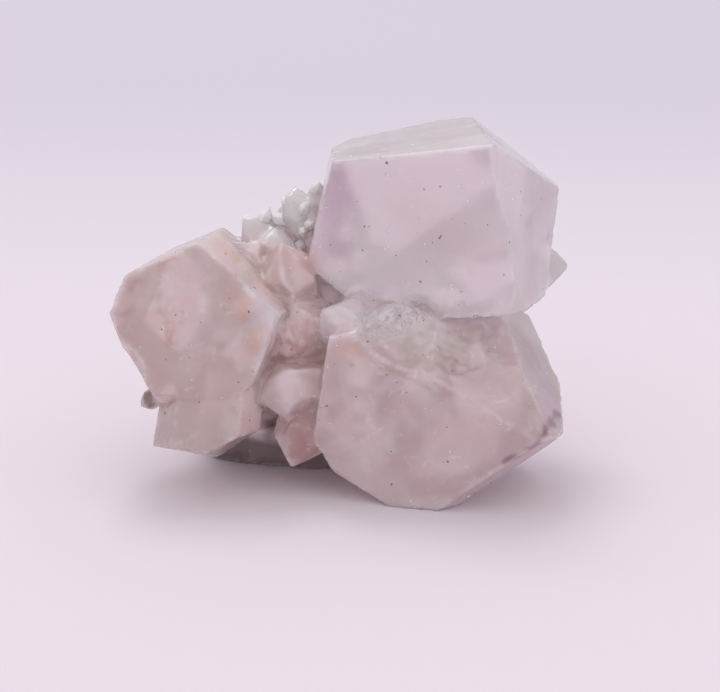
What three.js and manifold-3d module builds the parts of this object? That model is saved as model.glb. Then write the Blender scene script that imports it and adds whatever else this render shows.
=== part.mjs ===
// Spirit quartz cluster: stubby pale amethyst quartz crystals grown together from one root.
// Millimetres, +Z up, the cluster standing on its broken underside at z = 0.
import * as THREE from "three";
import { ConvexGeometry } from "three/addons/geometries/ConvexGeometry.js";
import { mergeVertices } from "three/addons/utils/BufferGeometryUtils.js";
import Module from "manifold-3d";

const wasm = await Module();
wasm.setup();

// Crystals are described as the specimen is held up to the eye: u to the right, v up, w towards
// the viewer. The specimen then stands tipped back by this much.
const TIP_BACK = THREE.MathUtils.degToRad(18);
// Height of the surface it stands on, below the eye line through the specimen's middle.
const STANDING_LEVEL = -17.2;

// Quartz: the angle between the c axis and the normal of a point (rhombohedral) face.
const POINT_FACE_ANGLE = THREE.MathUtils.degToRad(51.8);
const SIDES = 6;

// The large crystals, in millimetres and degrees. "lean" is how far the c axis leans away from the
// viewer's line of sight, "towards" the direction in which it leans, anticlockwise from the right.
// "prism", "point" and "under" are the distances of the faces from the centre. "cuts" are broken
// or bevelled places: the direction each one faces and its distance from the centre. "hollows" are
// shell-shaped hollows where chips have gone: the middle of each on the face, the direction it
// faces, the radius of its curve and its depth.
const LARGE_CRYSTALS = {
  upper: {
    centre: [9.3, 9.8, 1.0],
    lean: 29,
    towards: 68,
    roll: -20,
    prism: [12.0, 14.0, 12.3, 16.0, 15.0, 11.3],
    point: [5.0, 11.5, 9.1, 9.4, 7.2, 12.5],
    under: [11.7, 9.2, 11.9, 17.0, 17.0, 12.0],
    cuts: [[0.05, 0.92, -0.38, 16.2]],
    hollows: [{ at: [6.6, 1.2, 3.9], facing: [-0.1, -0.7, 0.7], radius: 5.0, depth: 0.7 }],
  },
  lower: {
    centre: [9.8, -9.0, 3.0],
    lean: 42,
    towards: -26,
    roll: 22,
    prism: [10.0, 11.0, 12.0, 13.5, 13.5, 9.2],
    point: [3.0, 9.0, 9.0, 12.2, 8.4, 4.2],
    under: [12, 12, 12, 13, 13, 12],
    cuts: [[0.42, -0.81, 0.41, 8.4]],
    hollows: [
      { at: [7.4, -3.6, 5.2], facing: [-0.1, 0.6, 0.8], radius: 9.0, depth: 0.5 },
      { at: [11.2, -3.6, 4.8], facing: [0.2, 0.5, 0.85], radius: 8.0, depth: 0.7 },
      { at: [14.4, -2.6, 3.6], facing: [0.5, 0.5, 0.7], radius: 6.0, depth: 0.6 },
      { at: [1.2, -17.0, 3.4], facing: [-0.5, -0.8, 0.3], radius: 7.0, depth: 0.4 },
    ],
  },
  left: {
    centre: [-15.2, 0.3, 1.0],
    lean: 47,
    towards: 158,
    roll: 0,
    prism: [7.9, 6.6, 9.3, 10.0, 7.3, 9.0],
    point: [3.5, 8.0, 6.1, 6.1, 7.4, 9.0],
    under: [9, 9, 9, 9, 9, 9],
    cuts: [[-0.84, -0.55, 0.0, 7.2]],
    hollows: [{ at: [-20.0, -4.6, 4.0], facing: [-0.8, -0.5, 0.4], radius: 4.0, depth: 0.3 }],
  },
  leftStem: {
    centre: [-13.4, -9.7, 0.2],
    lean: 75,
    towards: 262,
    roll: 0,
    prism: [4.0, 4.4, 4.1, 6.0, 4.5, 5.0],
    point: [9, 9, 9, 9, 9, 9],
    under: [9, 9, 9, 9, 9, 9],
    cuts: [
      [-0.15, -0.98, 0.1, 4.2],
      [0.45, -0.88, 0.1, 4.0],
    ],
    hollows: [
      { at: [-16.5, -13.6, 2.0], facing: [-0.3, -0.9, 0.3], radius: 3.0, depth: 0.4 },
      { at: [-11.5, -13.4, 3.0], facing: [0.3, -0.8, 0.5], radius: 2.5, depth: 0.4 },
    ],
  },
};

// Smaller crystals: where each one sits, how it leans, its half width, and how far its point and
// its root reach from there.
const SMALL_CRYSTALS = [
  { at: [-5.4, 3.6, -2.0], lean: 50, towards: 100, roll: 30, half: 2.9, reach: 4.5, root: 12 },
  { at: [-9.2, 4.6, -3.5], lean: 58, towards: 130, roll: 0, half: 2.4, reach: 4.2, root: 12 },
  { at: [-5.2, -1.6, -1.0], lean: 22, towards: 160, roll: 10, half: 2.6, reach: 3.2, root: 12 },
  { at: [-4.6, -7.6, -0.5], lean: 66, towards: 186, roll: 12, half: 3.0, reach: 4.6, root: 12 },
  { at: [-4.0, -12.2, -0.5], lean: 58, towards: 252, roll: 0, half: 2.6, reach: 3.6, root: 12 },
  { at: [-4.2, 9.8, -7.0], lean: 70, towards: 120, roll: 15, half: 2.0, reach: 3.4, root: 10 },
  { at: [-2.4, 11.2, -8.0], lean: 74, towards: 95, roll: 0, half: 1.6, reach: 3.0, root: 10 },
  { at: [-8.4, 7.6, -7.0], lean: 72, towards: 125, roll: 20, half: 2.2, reach: 3.4, root: 10 },
  { at: [19.0, 5.2, -8.0], lean: 86, towards: 2, roll: 0, half: 3.0, reach: 4.6, root: 10 },
  { at: [-18.2, -8.0, -1.0], lean: 80, towards: 208, roll: 0, half: 1.0, reach: 2.4, root: 6 },
];
// How much each of the six faces of a small crystal differs from an even one.
const UNEVEN = [1.0, 0.93, 1.06, 0.97, 1.04, 0.9];

// The root all the crystals grew from, the broken mass under it, and the massive quartz that
// fills the hollows between the crystals.
const LUMPS = [
  { at: [-1, -2, -10], size: [13, 11, 9], corners: 60, seed: 3 },
  { at: [-3, -11, -12], size: [13, 7, 8], corners: 40, seed: 8 },
  { at: [-4.4, -1.6, -2.5], size: [5.2, 4.4, 4.0], corners: 36, seed: 2 },
  { at: [1.6, -1.2, 0.5], size: [4.4, 3.0, 4.0], corners: 36, seed: 4 },
  { at: [-8.0, 6.3, -7.0], size: [4.4, 3.0, 4.0], corners: 30, seed: 6 },
];

// The spray of stubby points that covers the back.
const SPRAY = { count: 46, from: [-1, -1, -10], size: [13, 11, 8.5], half: [1.8, 3.4], seed: 5 };

// A point of the held-up specimen, in the standing frame.
function standing(u, v, w) {
  const s = Math.sin(TIP_BACK);
  const c = Math.cos(TIP_BACK);
  return new THREE.Vector3(u, v * s - w * c, v * c + w * s);
}

// A repeatable run of even random numbers between 0 and 1.
function randomFrom(seed) {
  let state = seed * 7919 + 17;
  return () => {
    state = (state * 16807) % 2147483647;
    return state / 2147483647;
  };
}

// The c axis and two vectors square to it, for a crystal that leans by the given angles.
function crystalAxes({ lean, towards, roll }) {
  const t = THREE.MathUtils.degToRad(lean);
  const d = THREE.MathUtils.degToRad(towards);
  const c = standing(Math.sin(t) * Math.cos(d), Math.sin(t) * Math.sin(d), Math.cos(t));
  const a = standing(-Math.cos(t) * Math.cos(d), -Math.cos(t) * Math.sin(d), Math.sin(t));
  a.applyAxisAngle(c, THREE.MathUtils.degToRad(roll));
  return { c, a, b: new THREE.Vector3().crossVectors(c, a) };
}

// The corner where three planes meet, or null when they are nearly parallel.
function meetingPoint(p, q, r) {
  const qr = new THREE.Vector3().crossVectors(q.normal, r.normal);
  const volume = p.normal.dot(qr);
  if (Math.abs(volume) < 1e-6) return null;
  const corner = qr.multiplyScalar(p.distance);
  corner.addScaledVector(new THREE.Vector3().crossVectors(r.normal, p.normal), q.distance);
  corner.addScaledVector(new THREE.Vector3().crossVectors(p.normal, q.normal), r.distance);
  return corner.divideScalar(volume);
}

// The corners of the convex body that lies inside all the planes.
function cornersOf(planes) {
  const corners = [];
  for (let i = 0; i < planes.length; i++)
    for (let j = i + 1; j < planes.length; j++)
      for (let k = j + 1; k < planes.length; k++) {
        const p = meetingPoint(planes[i], planes[j], planes[k]);
        if (!p || planes.some((plane) => plane.normal.dot(p) > plane.distance + 1e-6)) continue;
        if (corners.every((other) => other.distanceTo(p) > 1e-3)) corners.push(p);
      }
  return corners;
}

// A single quartz crystal as a convex geometry.
function crystal(spec) {
  const { c, a, b } = crystalAxes(spec);
  const along = c.clone().multiplyScalar(Math.cos(POINT_FACE_ANGLE));
  const planes = [];
  for (let k = 0; k < SIDES; k++) {
    const turn = (k * 2 * Math.PI) / SIDES;
    const side = a.clone().multiplyScalar(Math.cos(turn)).addScaledVector(b, Math.sin(turn));
    const outward = side.clone().multiplyScalar(Math.sin(POINT_FACE_ANGLE));
    planes.push({ normal: side, distance: spec.prism[k] });
    planes.push({ normal: outward.clone().add(along), distance: spec.point[k] });
    planes.push({ normal: outward.clone().sub(along), distance: spec.under[k] });
  }
  for (const [u, v, w, distance] of spec.cuts)
    planes.push({ normal: standing(u, v, w).normalize(), distance });
  const geometry = new ConvexGeometry(cornersOf(planes));
  geometry.translate(...standing(...spec.centre));
  return geometry;
}

// A small crystal, with its faces a little uneven.
function smallCrystal({ at, lean, towards, roll, half, reach, root }) {
  const slope = Math.cos(POINT_FACE_ANGLE);
  return crystal({
    centre: at,
    lean,
    towards,
    roll,
    prism: UNEVEN.map((share) => half * share),
    point: UNEVEN.map((share, k) => reach * slope * (k % 2 ? 1.12 : share)),
    under: UNEVEN.map((share) => root * slope * share),
    cuts: [],
  });
}

// A broken lump: the hull of corners strewn over an ellipsoid.
function lump({ at, size, corners, seed }) {
  const random = randomFrom(seed);
  const points = [];
  for (let k = 0; k < corners; k++) {
    const w = 2 * random() - 1;
    const turn = 2 * Math.PI * random();
    const ring = Math.sqrt(1 - w * w);
    const reach = 0.9 + 0.2 * random();
    const u = ring * Math.cos(turn);
    const v = ring * Math.sin(turn);
    points.push(standing(size[0] * u * reach, size[1] * v * reach, size[2] * w * reach));
  }
  const geometry = new ConvexGeometry(points);
  geometry.translate(...standing(...at));
  return geometry;
}

// The round of quartz that breaks out where a chip has gone.
function chip({ at, facing, radius, depth }) {
  const geometry = new THREE.IcosahedronGeometry(radius, 5);
  const outward = standing(...facing).setLength(radius - depth);
  geometry.translate(...standing(...at).add(outward));
  return geometry;
}

// Stubby points all over the back, each growing straight out from the root.
function spray({ count, from, size, half, seed }) {
  const random = randomFrom(seed);
  const golden = Math.PI * (3 - Math.sqrt(5));
  const points = [];
  for (let k = 0; k < count; k++) {
    const w = 0.1 - (1.1 * (k + 0.5)) / count;
    const ring = Math.sqrt(1 - w * w);
    const u = ring * Math.cos(k * golden);
    const v = ring * Math.sin(k * golden);
    const girth = half[0] + (half[1] - half[0]) * random();
    points.push({
      at: [from[0] + size[0] * u, from[1] + size[1] * v, from[2] + size[2] * w],
      lean: THREE.MathUtils.radToDeg(Math.acos(w)) + 16 * (random() - 0.5),
      towards: THREE.MathUtils.radToDeg(Math.atan2(v, u)) + 16 * (random() - 0.5),
      roll: 60 * random(),
      half: girth,
      reach: girth * (1.1 + 0.6 * random()),
      root: 9,
    });
  }
  return points;
}

// A closed geometry as a solid that can be joined and cut.
function solid(geometry) {
  const bare = geometry.clone();
  bare.deleteAttribute("normal");
  bare.deleteAttribute("uv");
  const merged = mergeVertices(bare, 1e-4);
  return new wasm.Manifold(
    new wasm.Mesh({
      numProp: 3,
      vertProperties: new Float32Array(merged.attributes.position.array),
      triVerts: new Uint32Array(merged.index.array),
    }),
  );
}

function geometryOf(manifold) {
  const mesh = manifold.getMesh();
  const geometry = new THREE.BufferGeometry();
  geometry.setAttribute("position", new THREE.BufferAttribute(mesh.vertProperties, 3));
  geometry.setIndex(new THREE.BufferAttribute(mesh.triVerts, 1));
  return geometry;
}

function grownTogether(solids) {
  return solids.reduce((whole, next) => whole.add(next));
}

function chippedCrystal(spec) {
  const chips = spec.hollows.map(chip).map(solid);
  return chips.reduce((whole, gone) => whole.subtract(gone), solid(crystal(spec)));
}

// Everything below the standing level, which is broken away flat.
function belowStandingLevel() {
  const geometry = new THREE.BoxGeometry(200, 200, 100);
  geometry.translate(0, 0, STANDING_LEVEL - 50);
  return geometry;
}

const grown = grownTogether([
  ...Object.values(LARGE_CRYSTALS).map(chippedCrystal),
  ...SMALL_CRYSTALS.map(smallCrystal).map(solid),
  ...spray(SPRAY).map(smallCrystal).map(solid),
  ...LUMPS.map(lump).map(solid),
]);
const cluster = grown.subtract(solid(belowStandingLevel()));

const geometry = geometryOf(cluster);
geometry.computeBoundingBox();
const middle = geometry.boundingBox.getCenter(new THREE.Vector3());
const quartz = new THREE.Mesh(
  geometry,
  new THREE.MeshStandardMaterial({ color: 0xcdbcc6, roughness: 0.3, metalness: 0 }),
);
quartz.name = "quartz_cluster";
quartz.position.set(-middle.x, -middle.y, -geometry.boundingBox.min.z);

const specimen = new THREE.Group();
specimen.add(quartz);

export default specimen;
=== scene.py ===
# %% [markdown]
# # A spirit quartz cluster
# Stubby quartz crystals, milky and faintly lilac, have grown together from one root. The packed
# solid already has every crystal in its place, so this lesson dresses that solid: its edges are
# worn, its broken places are roughened, fine points are set in the hollow behind and on the back,
# and a translucent finish carries the colour zones and the iron stain.

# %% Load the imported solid
import math
import random

import bpy
import numpy as np
from mathutils import Matrix, Vector, noise


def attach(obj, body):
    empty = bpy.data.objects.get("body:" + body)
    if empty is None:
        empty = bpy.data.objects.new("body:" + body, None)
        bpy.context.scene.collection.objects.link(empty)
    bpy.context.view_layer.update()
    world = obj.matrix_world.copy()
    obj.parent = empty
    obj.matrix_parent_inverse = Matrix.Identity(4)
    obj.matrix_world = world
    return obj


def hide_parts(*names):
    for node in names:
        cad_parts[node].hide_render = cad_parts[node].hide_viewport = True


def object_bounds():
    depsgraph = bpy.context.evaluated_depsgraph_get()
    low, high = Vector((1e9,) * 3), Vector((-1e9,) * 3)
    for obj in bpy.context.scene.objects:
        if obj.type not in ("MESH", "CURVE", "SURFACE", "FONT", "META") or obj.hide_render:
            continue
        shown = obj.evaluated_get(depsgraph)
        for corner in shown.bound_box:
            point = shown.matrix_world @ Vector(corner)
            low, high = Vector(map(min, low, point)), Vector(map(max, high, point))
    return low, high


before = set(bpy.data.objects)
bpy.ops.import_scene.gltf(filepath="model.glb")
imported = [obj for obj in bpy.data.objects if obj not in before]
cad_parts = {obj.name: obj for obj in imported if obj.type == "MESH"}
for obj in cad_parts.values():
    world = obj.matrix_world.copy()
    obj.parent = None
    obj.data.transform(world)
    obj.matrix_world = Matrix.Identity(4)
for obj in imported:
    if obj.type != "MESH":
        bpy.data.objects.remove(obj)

cad_low, cad_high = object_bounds()
print("packed solid, mm:", [round(1000 * side, 1) for side in cad_high - cad_low])

# %% [markdown]
# ## Where things are
# The crystals are easiest to place as the eye sees them: u to the right, v up and w towards the
# viewer, in millimetres from the middle of the specimen. It stands tipped back, so one small
# function turns such a place into the frame of the solid.

# %% Places on the specimen
MM = 0.001
TIP_BACK = math.radians(18)
HELD_MIDDLE = Vector((-0.583, -5.682, 17.2)) * MM


def held(u, v, w):
    """The place, in metres, of a point given in millimetres as the eye sees the specimen."""
    s = math.sin(TIP_BACK)
    c = math.cos(TIP_BACK)
    return HELD_MIDDLE + Vector((u, v * s - w * c, v * c + w * s)) * MM


print("middle of the view, mm:", [round(x / MM, 1) for x in held(0, 0, 0)])

# %% [markdown]
# ## Camera
# The specimen was seen from a little above, from close by. A long lens a hand's breadth and a half
# away gives the same mild perspective, and looking a little below the middle leaves the floor in
# view.

# %% Camera
EYE_DISTANCE = 170
AIM_U = 1.8
AIM_V = -3.1
LENS = 85

bpy.ops.object.select_all(action="DESELECT")
bpy.ops.object.camera_add(location=held(AIM_U, AIM_V, EYE_DISTANCE))
camera = bpy.context.object
camera.rotation_euler = (math.radians(90) - TIP_BACK, 0, 0)
camera.data.lens = LENS
camera.data.clip_start = 0.005
camera.data.clip_end = 20
bpy.context.scene.camera = camera
print("camera at, mm:", [round(x / MM) for x in camera.location])

# %% [markdown]
# ## A finer mesh
# The solid's flat faces are a few long triangles, which can't hold worn edges or pits. A voxel
# remesh gives even small faces: flat faces stay flat, and only the edges lose a third of a
# millimetre, as handling does to real ones. A light smoothing takes the steps out of the edges, and
# a shrinkwrap lays every point back on the solid's own faces.

# %% Copy the solid and remesh it
VOXEL = 0.3

crystals = bpy.data.objects.new("quartz_crystals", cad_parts["quartz_cluster"].data.copy())
bpy.context.scene.collection.objects.link(crystals)


def only(piece):
    """Makes this piece the one that operators act on."""
    bpy.ops.object.select_all(action="DESELECT")
    piece.select_set(True)
    bpy.context.view_layer.objects.active = piece


def apply_modifier(piece, kind, **settings):
    """Adds a modifier with these settings and applies it."""
    modifier = piece.modifiers.new(kind.lower(), kind)
    for name, value in settings.items():
        setattr(modifier, name, value)
    only(piece)
    bpy.ops.object.modifier_apply(modifier=modifier.name)


only(crystals)
bpy.ops.object.mode_set(mode="EDIT")
bpy.ops.mesh.select_all(action="SELECT")
bpy.ops.mesh.remove_doubles(threshold=1e-6)
bpy.ops.object.mode_set(mode="OBJECT")
apply_modifier(crystals, "REMESH", mode="VOXEL", voxel_size=VOXEL * MM, adaptivity=0)
apply_modifier(crystals, "SMOOTH", factor=0.5, iterations=2)
apply_modifier(crystals, "SHRINKWRAP", target=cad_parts["quartz_cluster"])
apply_modifier(crystals, "SMOOTH", factor=0.4, iterations=1)
print("fine mesh:", len(crystals.data.vertices), "points,", len(crystals.data.polygons), "faces")

# %% [markdown]
# ## Hollows and ridges
# Wear sits on ridges and stain gathers in hollows, so both are measured. When the mesh is smoothed
# on paper, a point in a hollow moves out and a point on a ridge moves in: a few rounds find the
# sharp edges, and many rounds find the deep gaps between the crystals.

# %% Measure hollows and ridges
RIDGE_ROUNDS = 3
RIDGE_FULL = 0.06
GAP_ROUNDS = 120
GAP_FULL = 0.55


def point_array(mesh, what):
    """The places or normals of all points, one row each."""
    values = np.empty(3 * len(mesh.vertices))
    mesh.vertices.foreach_get(what, values)
    return values.reshape(-1, 3)


def settled(mesh, rounds):
    """How far out, in millimetres, each point goes when all are averaged with their neighbours."""
    pairs = np.empty(2 * len(mesh.edges), dtype=np.int32)
    mesh.edges.foreach_get("vertices", pairs)
    start = np.concatenate([pairs[0::2], pairs[1::2]])
    end = np.concatenate([pairs[1::2], pairs[0::2]])
    count = np.bincount(start)
    first = point_array(mesh, "co")
    places = first
    for _ in range(rounds):
        sums = [np.bincount(start, weights=places[end, k]) for k in range(3)]
        places = 0.5 * places + 0.5 * np.stack(sums, axis=1) / count[:, None]
    return ((places - first) * point_array(mesh, "normal")).sum(axis=1) / MM


ridge = np.clip(-settled(crystals.data, RIDGE_ROUNDS) / RIDGE_FULL, 0, 1)
gap = np.clip(settled(crystals.data, GAP_ROUNDS) / GAP_FULL, 0, 1)
print("share of ridge and of gap:", round(ridge.mean(), 3), round(gap.mean(), 3))

# %% [markdown]
# ## Worn edges and broken places
# Real crystal edges are nicked, and where the cluster was broken out of its pocket the quartz is
# hackly. Each point is moved along its normal: ridges are nicked inwards where a noise is high, and
# the broken places are pushed in and out.

# %% Wear
NICK_DEPTH = 0.22
NICK_SIZE = 1.3
FACE_RELIEF = 0.006
FACE_RELIEF_SIZE = 2.2
BROKEN_RELIEF = 0.34
BROKEN_SIZE = 1.5
# Places with broken or massive quartz: u, v, w, radius.
BROKEN_PLACES = [
    (10.5, -3.5, 4.5, 6.5),
    (-4.4, -1.6, -1.0, 5.5),
    (1.6, -1.2, 2.0, 4.5),
    (-3.0, -13.0, -12.0, 14.0),
]


def brokenness(point):
    """1 in the middle of a broken place, 0 outside all of them."""
    most = 0.0
    for u, v, w, radius in BROKEN_PLACES:
        distance = (point - held(u, v, w)).length / (radius * MM)
        most = max(most, min(1.0, 2 - 2 * distance))
    return most


def worn(point, on_ridge):
    """How far, in millimetres, a point moves out along its normal."""
    place = point / MM
    nick = max(0.0, noise.noise(place / NICK_SIZE) + 0.6 * noise.noise(place / (0.4 * NICK_SIZE)))
    relief = FACE_RELIEF * noise.noise(place / FACE_RELIEF_SIZE)
    hackly = noise.turbulence(place / BROKEN_SIZE, 4, True) - 0.6
    return relief - NICK_DEPTH * on_ridge * nick + BROKEN_RELIEF * brokenness(point) * hackly


points = crystals.data.vertices
moved = [v.co + v.normal * worn(v.co, on_ridge) * MM for v, on_ridge in zip(points, ridge)]
for vertex, spot in zip(points, moved):
    # The underside stays on the floor, and nothing leaves the solid's box.
    vertex.co = [min(max(x, low), high) for x, low, high in zip(spot, cad_low, cad_high)]
for name, values in (("ridge", ridge), ("gap", gap)):
    crystals.data.attributes.new(name, "FLOAT", "POINT").data.foreach_set("value", values)
print("nicked points:", int((ridge > 0.5).sum()))

# %% [markdown]
# ## Fine points
# Tiny later crystals stand in the hollow behind the large ones and on the back. One six-sided point
# is modelled as by hand, from a cylinder whose top is drawn out and closed, and then copied, each
# copy with its own mesh, sunk a little into the quartz and turned out along its surface.

# %% Model one fine point
# Sizes for a point whose body is one unit long.
POINT_RADIUS = 0.42
POINT_BODY = 1.0
POINT_TIP = 0.55

bpy.ops.object.select_all(action="DESELECT")
bpy.ops.mesh.primitive_cylinder_add(vertices=6, radius=POINT_RADIUS, depth=POINT_BODY)
one_point = bpy.context.object
bpy.ops.object.mode_set(mode="EDIT")
bpy.ops.mesh.select_all(action="DESELECT")
bpy.ops.object.mode_set(mode="OBJECT")
for face in one_point.data.polygons:
    face.select = face.normal.z > 0.9
bpy.ops.object.mode_set(mode="EDIT")
bpy.ops.mesh.extrude_region_move(TRANSFORM_OT_translate={"value": (0, 0, POINT_TIP)})
bpy.ops.mesh.merge(type="CENTER")
bpy.ops.mesh.select_all(action="SELECT")
bpy.ops.mesh.normals_make_consistent(inside=False)
bpy.ops.object.mode_set(mode="OBJECT")
print("one fine point:", len(one_point.data.polygons), "faces")

# %% Strew the fine points
# Where they grow: u, v, w, radius, how many, smallest and largest length, in millimetres.
STREWN = [
    (-4.6, 10.6, -6.0, 3.2, 8, 1.0, 1.7),
    (0.0, 0.0, -17.0, 17.0, 70, 0.9, 2.0),
]
# Shares of a point's length that are sunk and that must be free, and how far it may lean.
SUNK = 0.2
FREE = 1.2
LEAN = 0.35

draw = random.Random(11)


def fine_point(at, along, length):
    """A copy of the one point, standing at a place and pointing along a direction."""
    mesh = one_point.data.copy()
    turn_to = along.to_track_quat("Z", "Y").to_matrix().to_4x4()
    spin = Matrix.Rotation(draw.uniform(0, math.pi), 4, "Z")
    mesh.transform(Matrix.Translation(at) @ turn_to @ spin @ Matrix.Scale(length * MM, 4))
    copy = bpy.data.objects.new("druse", mesh)
    bpy.context.scene.collection.objects.link(copy)
    return copy


def inside_box(spot):
    return all(low < x < high for x, low, high in zip(spot, cad_low, cad_high))


copies = []
for u, v, w, radius, many, shortest, longest in STREWN:
    middle = held(u, v, w)
    ground = [p for p in points if (p.co - middle).length < radius * MM]
    for p in draw.sample(ground, many):
        lean = Vector([draw.uniform(-LEAN, LEAN) for _ in range(3)])
        length = draw.uniform(shortest, longest)
        if inside_box(p.co + p.normal * length * FREE * MM):
            foot = p.co - p.normal * SUNK * length * MM
            copies.append(fine_point(foot, (p.normal + lean).normalized(), length))

bpy.data.objects.remove(one_point)
bpy.ops.object.select_all(action="DESELECT")
for copy in copies:
    copy.select_set(True)
bpy.context.view_layer.objects.active = copies[0]
bpy.ops.object.join()
druse = bpy.context.object
druse.name = "druse_points"
print("fine points:", len(copies), "with", len(druse.data.polygons), "faces")

# %% [markdown]
# ## Shader maths
# Materials are sums and products of patterns, so a small class lets a socket be used in ordinary
# Python expressions, and one method adds any other node by its type, settings and inputs.

# %% Helpers for materials


class Value:
    """A node's output, which can be added, subtracted and multiplied."""

    def __init__(self, finish, socket):
        self.finish = finish
        self.socket = socket

    def __add__(self, other):
        return self.finish.maths("ADD", self, other)

    def __radd__(self, other):
        return self.finish.maths("ADD", other, self)

    def __sub__(self, other):
        return self.finish.maths("SUBTRACT", self, other)

    def __rsub__(self, other):
        return self.finish.maths("SUBTRACT", other, self)

    def __mul__(self, other):
        return self.finish.maths("MULTIPLY", self, other)

    def __rmul__(self, other):
        return self.finish.maths("MULTIPLY", other, self)


class Finish:
    """A new material, with its nodes added one at a time."""

    def __init__(self, name):
        self.material = bpy.data.materials.new(name)
        self.material.use_nodes = True
        self.tree = self.material.node_tree
        self.tree.nodes.clear()

    def node(self, kind, settings=None, inputs=None, output=0):
        """Adds a node, sets it up, links or fills its inputs, and gives back one output."""
        node = self.tree.nodes.new("ShaderNode" + kind)
        for name, value in (settings or {}).items():
            setattr(node, name, value)
        for name, value in (inputs or {}).items():
            if isinstance(value, Value):
                self.tree.links.new(value.socket, node.inputs[name])
            else:
                node.inputs[name].default_value = value
        return Value(self, node.outputs[output])

    def maths(self, operation, a, b):
        return self.node("Math", {"operation": operation}, {0: a, 1: b})

    def between(self, value, low, high):
        """0 where value is below low, 1 where it is above high, and smooth in between."""
        settings = {"interpolation_type": "SMOOTHSTEP"}
        inputs = {"Value": value, "From Min": low, "From Max": high}
        return self.node("MapRange", settings, inputs)

    def mix(self, factor, a, b):
        """Colour a where the factor is 0, and colour b where it is 1."""
        inputs = {0: factor, 6: a, 7: b}
        return self.node("Mix", {"data_type": "RGBA"}, inputs, output=2)

    def noise(self, place, scale, detail=2.0, distortion=0.0):
        inputs = {"Vector": place, "Scale": scale, "Detail": detail, "Distortion": distortion}
        return self.node("TexNoise", None, inputs)

    def measured(self, name):
        """A value that was measured for each point of the mesh."""
        return self.node("Attribute", {"attribute_name": name}, output="Fac")

    def surface(self, shader, volume=None):
        """Joins a shader, and a volume if there is one, to the material's output."""
        output = self.tree.nodes.new("ShaderNodeOutputMaterial")
        self.tree.links.new(shader.socket, output.inputs["Surface"])
        if volume:
            self.tree.links.new(volume.socket, output.inputs["Volume"])


# %% [markdown]
# ## Colour zones
# Each crystal has its own colour, with zones in it, and iron stain sits where water ran. A few zones
# are painted light instead: painted shade on the upper crystal's top face, in a dark recess and on the
# broken base under the left half, and painted highlights on the lower crystal's wormy upper face and
# as small white glints on edges. A zone is a line with a radius, in the millimetres of the held-up
# specimen. Nodes for so many zones would make every ray slow, so the tint is worked out once for each
# point of the mesh and kept there. Zone outlines are broken up by letting each point's place stray a
# little.

# %% Colours
UPPER_LILAC = (0.96, 0.84, 0.89)
LOWER_PINK = (0.74, 0.57, 0.57)
LEFT_PINK = (0.79, 0.61, 0.60)
ROSE = (0.84, 0.60, 0.56)
PALE_LILAC = (0.74, 0.57, 0.70)
VIOLET = (0.36, 0.20, 0.30)
GREEN_GREY = (0.74, 0.66, 0.60)
SPARKLING = (0.98, 0.93, 0.94)
DUSKY = (0.56, 0.33, 0.33)
PEACH = (0.88, 0.54, 0.38)
PALE_PINK = (0.99, 0.86, 0.85)
RUST = (0.50, 0.24, 0.12)
# Dark brown for real marks, and also near-black painted shade in a recess and on the base.
DARK_BROWN_AND_SHADE = (0.05, 0.02, 0.012)
# White for painted highlights: small glints painted on edges.
GLINT_WHITE = (1.0, 0.98, 0.98)

print("palest and darkest zone colours:", GLINT_WHITE, DARK_BROWN_AND_SHADE)

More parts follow.
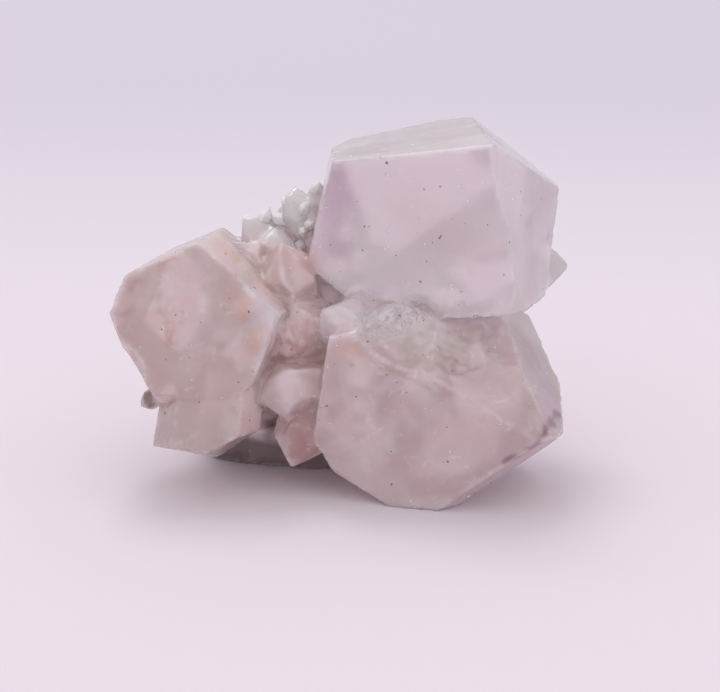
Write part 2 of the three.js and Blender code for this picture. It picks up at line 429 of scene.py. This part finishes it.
# %% Zones
# Colour, strength, start, end, radius, and the share of the radius that is soft.
ZONES = {
    "lower crystal": (LOWER_PINK, 1.0, (3, -10, 3), (17, -9.5, 2), 10.0, 0.25),
    "left crystal": (LEFT_PINK, 1.0, (-16, 3, 1), (-14, -11, 1), 9.0, 0.3),
    "middle": (ROSE, 1.0, (-5.5, 5.5, -1), (-4, -12, -2), 4.5, 0.5),
    "upper crystal, left edge": (PALE_LILAC, 0.75, (-0.8, 13.0, 3), (-0.6, 7.0, 2), 3.4, 0.9),
    "upper crystal, right band": (PALE_LILAC, 0.35, (18.2, 9.0, 4), (18.4, 2.0, 5), 2.4, 0.9),
    # Painted shade: the upper crystal's top face is darkened to stand in for less light falling on it.
    "upper crystal, top face, painted shade": (PALE_LILAC, 0.7, (3.0, 17.8, 0), (14.0, 19.4, -1), 5.0, 0.5),
    "upper crystal, grey heart": (GREEN_GREY, 0.3, (7.0, 9.5, 6), (11.5, 6.0, 6), 4.5, 0.9),
    "lower crystal, broken top": (GREEN_GREY, 0.6, (5.0, -2.6, 4.6), (14.0, -3.6, 3.6), 3.0, 0.8),
    "lower crystal, right rim": (PALE_LILAC, 0.7, (20.2, -4.5, 1), (20.6, -9.5, 3), 4.2, 0.8),
    "lower crystal, low seam": (VIOLET, 0.9, (16.0, -14.2, 6.6), (19.5, -11.3, 7.1), 0.65, 0.8),
    "lower crystal, high seam": (VIOLET, 0.9, (19.5, -11.3, 7.1), (21.4, -9.6, 2.0), 0.65, 0.8),
    "lower crystal, fine crack": (RUST, 0.4, (3.7, -4.6, 5.5), (8.5, -7.3, 6.2), 0.45, 0.8),
    "left crystal, upper rim": (DUSKY, 0.5, (-14.4, 7.3, 3.3), (-20.0, 2.8, 5), 1.3, 0.9),
    "left crystal, left rim": (DUSKY, 0.5, (-20.0, 2.8, 5), (-21.3, -0.1, 5), 1.3, 0.9),
    "left crystal, low rim": (DUSKY, 0.5, (-21.3, -0.1, 5), (-19.8, -5.5, 3), 1.3, 0.9),
    "left crystal, stain high": (RUST, 0.75, (-17.8, 1.8, 4.7), (-17.4, 0.6, 4.7), 1.2, 0.9),
    "left crystal, stain low": (RUST, 0.7, (-16.9, -1.2, 4.6), (-16.5, -2.4, 4.6), 1.2, 0.9),
    "left crystal, stained root": (PEACH, 0.6, (-9.9, 1.4, 4.1), (-8.5, -2.5, 3.9), 1.8, 0.9),
    "left crystal, rusty strip": (PEACH, 0.8, (-11.6, 6.7, 0.9), (-7.9, 3.2, 1.0), 1.9, 0.8),
    "left crystal, right flank": (PEACH, 0.7, (-7.8, 3.0, 1.0), (-8.0, -3.0, 3.0), 1.8, 0.8),
    "left crystal, chip": (DARK_BROWN_AND_SHADE, 0.7, (-19.6, -7.6, 0), (-19.2, -8.8, 0), 0.9, 0.6),
    "small crystal, lilac": (DUSKY, 0.35, (-8.7, -6.7, 3.5), (-7.6, -8.0, 1.7), 1.8, 0.6),
    "small crystal, purple": (DUSKY, 1.0, (-4.6, -11.4, 1.8), (-3.9, -14.4, 1.2), 2.4, 0.7),
    "pale back": (PALE_PINK, 0.9, (-10.5, 8.0, -6.5), (-3.0, 11.0, -7.5), 4.2, 0.5),
    "sparkling hollow": (SPARKLING, 0.9, (-6.4, 9.4, -5.3), (-3.8, 11.4, -5.0), 3.0, 0.6),
    # Painted shade: a near-black patch where the recess lies in shadow.
    "recess, painted shade": (DARK_BROWN_AND_SHADE, 0.9, (-7.2, -10.6, -4.2), (-7.0, -13.2, -4.2), 2.2, 0.9),
    # Painted highlight: the wormy upper face is whitened for its bright glints.
    "wormy face, painted highlight": (SPARKLING, 0.5, (2.8, -1.4, 4.2), (7.8, 0.4, 3.1), 2.2, 0.5),
    "stained bump": (PEACH, 0.9, (0.4, -3.5, 5.1), (1.7, -4.2, 5.1), 1.4, 0.8),
    "brown mark": (DARK_BROWN_AND_SHADE, 0.85, (0.8, -4.9, 5.3), (1.3, -5.1, 5.3), 0.5, 0.6),
    # Painted shade: the broken base under the left half is painted near-black where it lies in shadow.
    "broken base, left, painted shade": (DARK_BROWN_AND_SHADE, 0.9, (-14, -14.6, -8), (-1, -16.2, -7), 4.6, 0.4),
    "broken base, back": (RUST, 0.6, (-8.0, -16.0, -14), (10.0, -17.5, -12), 6.0, 0.7),
    # Painted highlights: these small white spots are painted where edges catch the light.
    "painted glint on the lower crystal's shoulder": (GLINT_WHITE, 1.0, (14.3, -0.9, 2.6), (14.9, -1.7, 2.8), 0.5, 0.5),
    "painted glint on its left edge": (GLINT_WHITE, 1.0, (-2.2, -2.3, 4.4), (-1.6, -3.6, 4.8), 0.5, 0.5),
    "painted glint lower on that edge": (GLINT_WHITE, 0.9, (-0.9, -8.0, 5.6), (-0.5, -8.6, 5.7), 0.5, 0.5),
    "painted glint on its right edge": (GLINT_WHITE, 1.0, (19.9, -6.0, 3.0), (20.8, -7.6, 3.0), 0.5, 0.5),
    "painted glint on the left crystal": (GLINT_WHITE, 0.9, (-9.3, 2.5, 4.0), (-8.7, 1.9, 3.9), 0.5, 0.5),
    "pale fragment": (SPARKLING, 0.6, (22.4, 7.0, -6), (22.8, 3.4, -7.4), 2.4, 0.6),
}

print("colour zones:", len(ZONES))

# %% Work out the tint
# How far places stray and the size of the bends, in millimetres.
STRAY = 0.6
STRAY_SIZE = 1.6
# Zones with a radius between these are broken into patches of this size.
PATCHY_FROM = 1.0
PATCHY_TO = 2.0
PATCH_SIZE = 0.9
# Below the first brightness no cloud veils a colour, above the second clouds do so fully.
DARK = 0.3
PALE = 0.7

turn = Matrix.Rotation(TIP_BACK - math.radians(90), 3, "X")


def seen_places(mesh):
    """The place of every point as the eye sees the specimen, in millimetres, a little astray."""
    places = []
    for vertex in mesh.vertices:
        seen = turn @ (vertex.co - HELD_MIDDLE) / MM
        places.append(seen + STRAY * noise.noise_vector(seen / STRAY_SIZE))
    return np.array(places)


def near_line(places, start, end, radius, soft):
    """1 near the line from start to end, falling to 0 at the radius over its soft part."""
    way = np.subtract(end, start)
    from_start = places - np.array(start)
    reached = np.clip(from_start @ way / (way @ way), 0, 1)
    distance = np.linalg.norm(from_start - reached[:, None] * way, axis=1)
    inside = np.clip((radius - distance) / (radius * soft), 0, 1)
    return inside * inside * (3 - 2 * inside)


def patchiness(places):
    """A value from 0 to 1 for every place, which breaks small zones into patches."""
    values = np.array([noise.noise(Vector(place) / PATCH_SIZE) for place in places])
    return np.clip(0.6 + 1.2 * values, 0, 1)


def zoned_tint(mesh):
    """The colour of every point: the upper crystal's lilac, painted over by each zone in turn.

    The fourth number is how far white clouds may veil it, from 0 where it is dark to 1.
    """
    places = seen_places(mesh)
    patches = patchiness(places)
    tint = np.tile(UPPER_LILAC, (len(places), 1))
    for zone_colour, strength, *shape in ZONES.values():
        cover = strength * near_line(places, *shape)
        if PATCHY_FROM < shape[2] < PATCHY_TO:
            cover = cover * patches
        tint = tint + cover[:, None] * (np.array(zone_colour) - tint)
    veil = np.clip((tint.max(axis=1) - DARK) / (PALE - DARK), 0, 1)
    return np.column_stack([tint, veil])


tint_layer = crystals.data.attributes.new("tint", "FLOAT_COLOR", "POINT")
tint_layer.data.foreach_set("color", zoned_tint(crystals.data).ravel())
print("tinted points:", len(tint_layer.data))

# %% [markdown]
# ## Milky quartz
# Milky quartz lets light in, spreads it, and gives it back softened. Part of it is plain
# transmission with quartz's own refraction and a faint lilac absorption, the rest is light spread
# under the surface. The measured tint is veiled by soft white clouds.

# %% Quartz places and clouds
CLOUD_WHITE = (0.92, 0.88, 0.86, 1)
CLOUD_SHARE = 0.42

quartz = Finish("milky_quartz")
place = quartz.node(
    "Mapping",
    {"vector_type": "POINT"},
    {
        "Vector": quartz.node("TexCoord", output="Object"),
        "Location": -(turn @ HELD_MIDDLE) / MM,
        "Rotation": (TIP_BACK - math.radians(90), 0, 0),
        "Scale": (1 / MM, 1 / MM, 1 / MM),
    },
)
tint = quartz.node("Attribute", {"attribute_name": "tint"}, output="Color")
veil = quartz.node("Attribute", {"attribute_name": "tint"}, output="Alpha")
cloud = quartz.between(quartz.noise(place, 0.2, 5.0, 0.6), 0.40, 0.68)
colour = quartz.mix(CLOUD_SHARE * cloud * veil, tint, CLOUD_WHITE)
print("clouds cover at most", CLOUD_SHARE)

# %% [markdown]
# ## Stain, wear and specks
# Brown stain gathers in the gaps, worn ridges are whiter than the faces, whitish wisps hang in the
# quartz, and a few dark specks of iron oxide are scattered all over. The specks are the rare places
# where a noise reaches its very highest values.

# %% Stain, wear and specks
GAP_STAIN = (0.40, 0.22, 0.16, 1)
# White for worn ridges and wisps, and also a painted highlight on the worm lines.
WISP_WEAR_AND_HIGHLIGHT_WHITE = (0.98, 0.94, 0.95, 1)
SPECK = (0.16, 0.09, 0.08, 1)
SPECK_LEVEL = 0.765
GAP_SHARE = 0.15
GAP_PATCH_SHARE = 0.35
WISP_SHARE = 0.45
WEAR_SHARE = 0.5
SPECK_SHARE = 0.85

patchy = quartz.between(quartz.noise(place, 0.45, 4.0), 0.36, 0.62)
gap_depth = quartz.between(quartz.measured("gap"), 0.25, 1.0)
colour = quartz.mix(gap_depth * (GAP_SHARE + GAP_PATCH_SHARE * patchy), colour, GAP_STAIN)
wisp = quartz.between(quartz.noise(place, 0.5, 5.0, 1.6), 0.58, 0.74)
colour = quartz.mix(WISP_SHARE * wisp * veil, colour, WISP_WEAR_AND_HIGHLIGHT_WHITE)
ridge_wear = quartz.measured("ridge") * quartz.between(quartz.noise(place, 1.1, 3.0), 0.42, 0.62)
colour = quartz.mix(WEAR_SHARE * ridge_wear * veil, colour, WISP_WEAR_AND_HIGHLIGHT_WHITE)
speck = quartz.between(quartz.noise(place, 1.7, 1.0), SPECK_LEVEL, SPECK_LEVEL + 0.015)
colour = quartz.mix(SPECK_SHARE * speck, colour, SPECK)
print("stain, wisps, wear and specks:", len(quartz.tree.nodes), "nodes so far")

# %% [markdown]
# ## Gloss, fine relief and a painted highlight
# Fresh faces are glossy, broken quartz is duller. The lower crystal's upper face is different: it is
# covered in wormy growth marks, drawn here as the thin lines where a distorted noise passes its middle
# value. The lines are bumped, and also painted white as a painted highlight for the glints they catch.
# A thin coat keeps the gloss crisp over the blurred inside, and is left off the darkest zones, dark
# stain and painted shade alike.

# %% Gloss, relief and shader
WORMY_FACE = ((2.8, -1.2, 4.2), (7.2, 0.5, 3.1), 1.9, 0.5)
RELIEF_DEPTH = 0.0003
WORM_HIGHLIGHT_SHARE = 0.9
COAT = 0.4

wormy = near_line(seen_places(crystals.data), *WORMY_FACE)
crystals.data.attributes.new("wormy", "FLOAT", "POINT").data.foreach_set("value", wormy)
wormy_zone = quartz.measured("wormy")
wave = quartz.noise(place, 0.75, 1.0, 2.4) - 0.5
worm = 1 - quartz.between(quartz.maths("ABSOLUTE", wave, 0.0), 0.0, 0.06)
height = 0.05 * quartz.noise(place, 1.2, 3.0) + wormy_zone * worm
# Painted highlight: the worm lines are painted white for the glints they catch.
colour = quartz.mix(WORM_HIGHLIGHT_SHARE * wormy_zone * worm, colour, WISP_WEAR_AND_HIGHLIGHT_WHITE)
roughness = 0.16 + 0.16 * quartz.noise(place, 0.8, 4.0) - 0.12 * wormy_zone + 0.25 * gap_depth
normal = quartz.node("Bump", None, {"Strength": 0.8, "Distance": RELIEF_DEPTH, "Height": height})
shader = quartz.node(
    "BsdfPrincipled",
    {"subsurface_method": "RANDOM_WALK"},
    {
        "Base Color": colour,
        "Roughness": roughness,
        "Normal": normal,
        "IOR": 1.544,
        "Subsurface Weight": 0.6,
        "Subsurface Radius": (1.0, 0.86, 0.92),
        "Subsurface Scale": 0.002,
        "Transmission Weight": 0.5,
        "Coat Weight": COAT * veil,
        "Coat Roughness": 0.07,
        "Coat IOR": 1.544,
    },
)
absorption = quartz.node("VolumeAbsorption", None, {"Color": (0.90, 0.76, 0.84, 1), "Density": 10.0})
quartz.surface(shader, absorption)
print("quartz finish:", len(quartz.tree.nodes), "nodes")

# %% [markdown]
# ## Clear points
# The fine points are younger and cleaner than the crystals they grow on, so they get a whiter and
# smoother finish of their own, with some transmission and the same refraction.

# %% Clear finish
clear = Finish("clear_quartz")
object_place = clear.node("TexCoord", output="Object")
haze = clear.between(clear.noise(object_place, 700.0, 3.0), 0.35, 0.65)
clear_shader = clear.node(
    "BsdfPrincipled",
    None,
    {
        "Base Color": clear.mix(haze, (0.96, 0.90, 0.92, 1), (1.0, 0.97, 0.97, 1)),
        "Roughness": 0.08 + 0.14 * haze,
        "IOR": 1.544,
        "Subsurface Weight": 0.7,
        "Subsurface Radius": (1.0, 0.9, 0.95),
        "Subsurface Scale": 0.001,
        "Transmission Weight": 0.2,
    },
)
clear.surface(clear_shader)
print("clear finish:", len(clear.tree.nodes), "nodes")

# %% Hand the pieces to the frame
for piece, finish in ((crystals, quartz), (druse, clear)):
    piece.data.materials.clear()
    piece.data.materials.append(finish.material)
    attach(piece, "root")
only(crystals)
bpy.ops.object.shade_smooth()
only(druse)
bpy.ops.object.shade_flat()
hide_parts("quartz_cluster")
print("pieces:", crystals.name, "and", druse.name)

# %% [markdown]
# ## Floor and light
# The specimen stands on something pale, under a soft light overhead, with pale surroundings to
# fill the shadows. The lamp is small enough to leave glints on the glossy faces. The floor's colour
# darkens slowly towards the back, as painted shade.

# %% Floor
# Painted shade: the far floor colour is darker than the near one.
NEAR_FLOOR = (0.76, 0.69, 0.75, 1)
FAR_FLOOR = (0.61, 0.565, 0.65, 1)

bpy.ops.object.select_all(action="DESELECT")
bpy.ops.mesh.primitive_plane_add(size=20, location=(0, 0, -0.00003))
floor = bpy.context.object
floor.name = "floor"
paper = Finish("pale_floor")
floor_place = paper.node("SeparateXYZ", None, {0: paper.node("TexCoord", output="Object")}, output="Y")
floor_colour = paper.mix(paper.between(floor_place, -0.02, 0.25), NEAR_FLOOR, FAR_FLOOR)
paper_shader = paper.node(
    "BsdfPrincipled", None, {"Base Color": floor_colour, "Roughness": 0.9, "Specular IOR Level": 0.0}
)
paper.surface(paper_shader)
floor.data.materials.append(paper.material)
print("floor:", floor.name)

# %% Lights
LAMP = {"place": held(-150, 1095, -134), "size": 0.34, "power": 2.8}
ROOM = {"colour": (1.0, 0.98, 1.0, 1), "strength": 0.96, "low strength": 0.5, "full height": 0.5}

bpy.ops.object.light_add(type="AREA", location=LAMP["place"])
overhead = bpy.context.object
overhead.name = "overhead"
overhead.data.size = LAMP["size"]
overhead.data.energy = LAMP["power"]
aim = held(0, 0, 0) - LAMP["place"]
overhead.rotation_euler = aim.to_track_quat("-Z", "Y").to_euler()

world = bpy.data.worlds.new("pale_room")
world.use_nodes = True
sky = world.node_tree.nodes["Background"]
sky.inputs["Color"].default_value = ROOM["colour"]
direction = world.node_tree.nodes.new("ShaderNodeTexCoord")
height_of = world.node_tree.nodes.new("ShaderNodeSeparateXYZ")
brighten = world.node_tree.nodes.new("ShaderNodeMapRange")
brighten.inputs["From Max"].default_value = ROOM["full height"]
brighten.inputs["To Min"].default_value = ROOM["low strength"]
brighten.inputs["To Max"].default_value = ROOM["strength"]
world.node_tree.links.new(direction.outputs["Generated"], height_of.inputs[0])
world.node_tree.links.new(height_of.outputs["Z"], brighten.inputs["Value"])
world.node_tree.links.new(brighten.outputs["Result"], sky.inputs["Strength"])
bpy.context.scene.world = world
bpy.context.scene.view_settings.view_transform = "Standard"
print("lights:", overhead.name, "and the room")
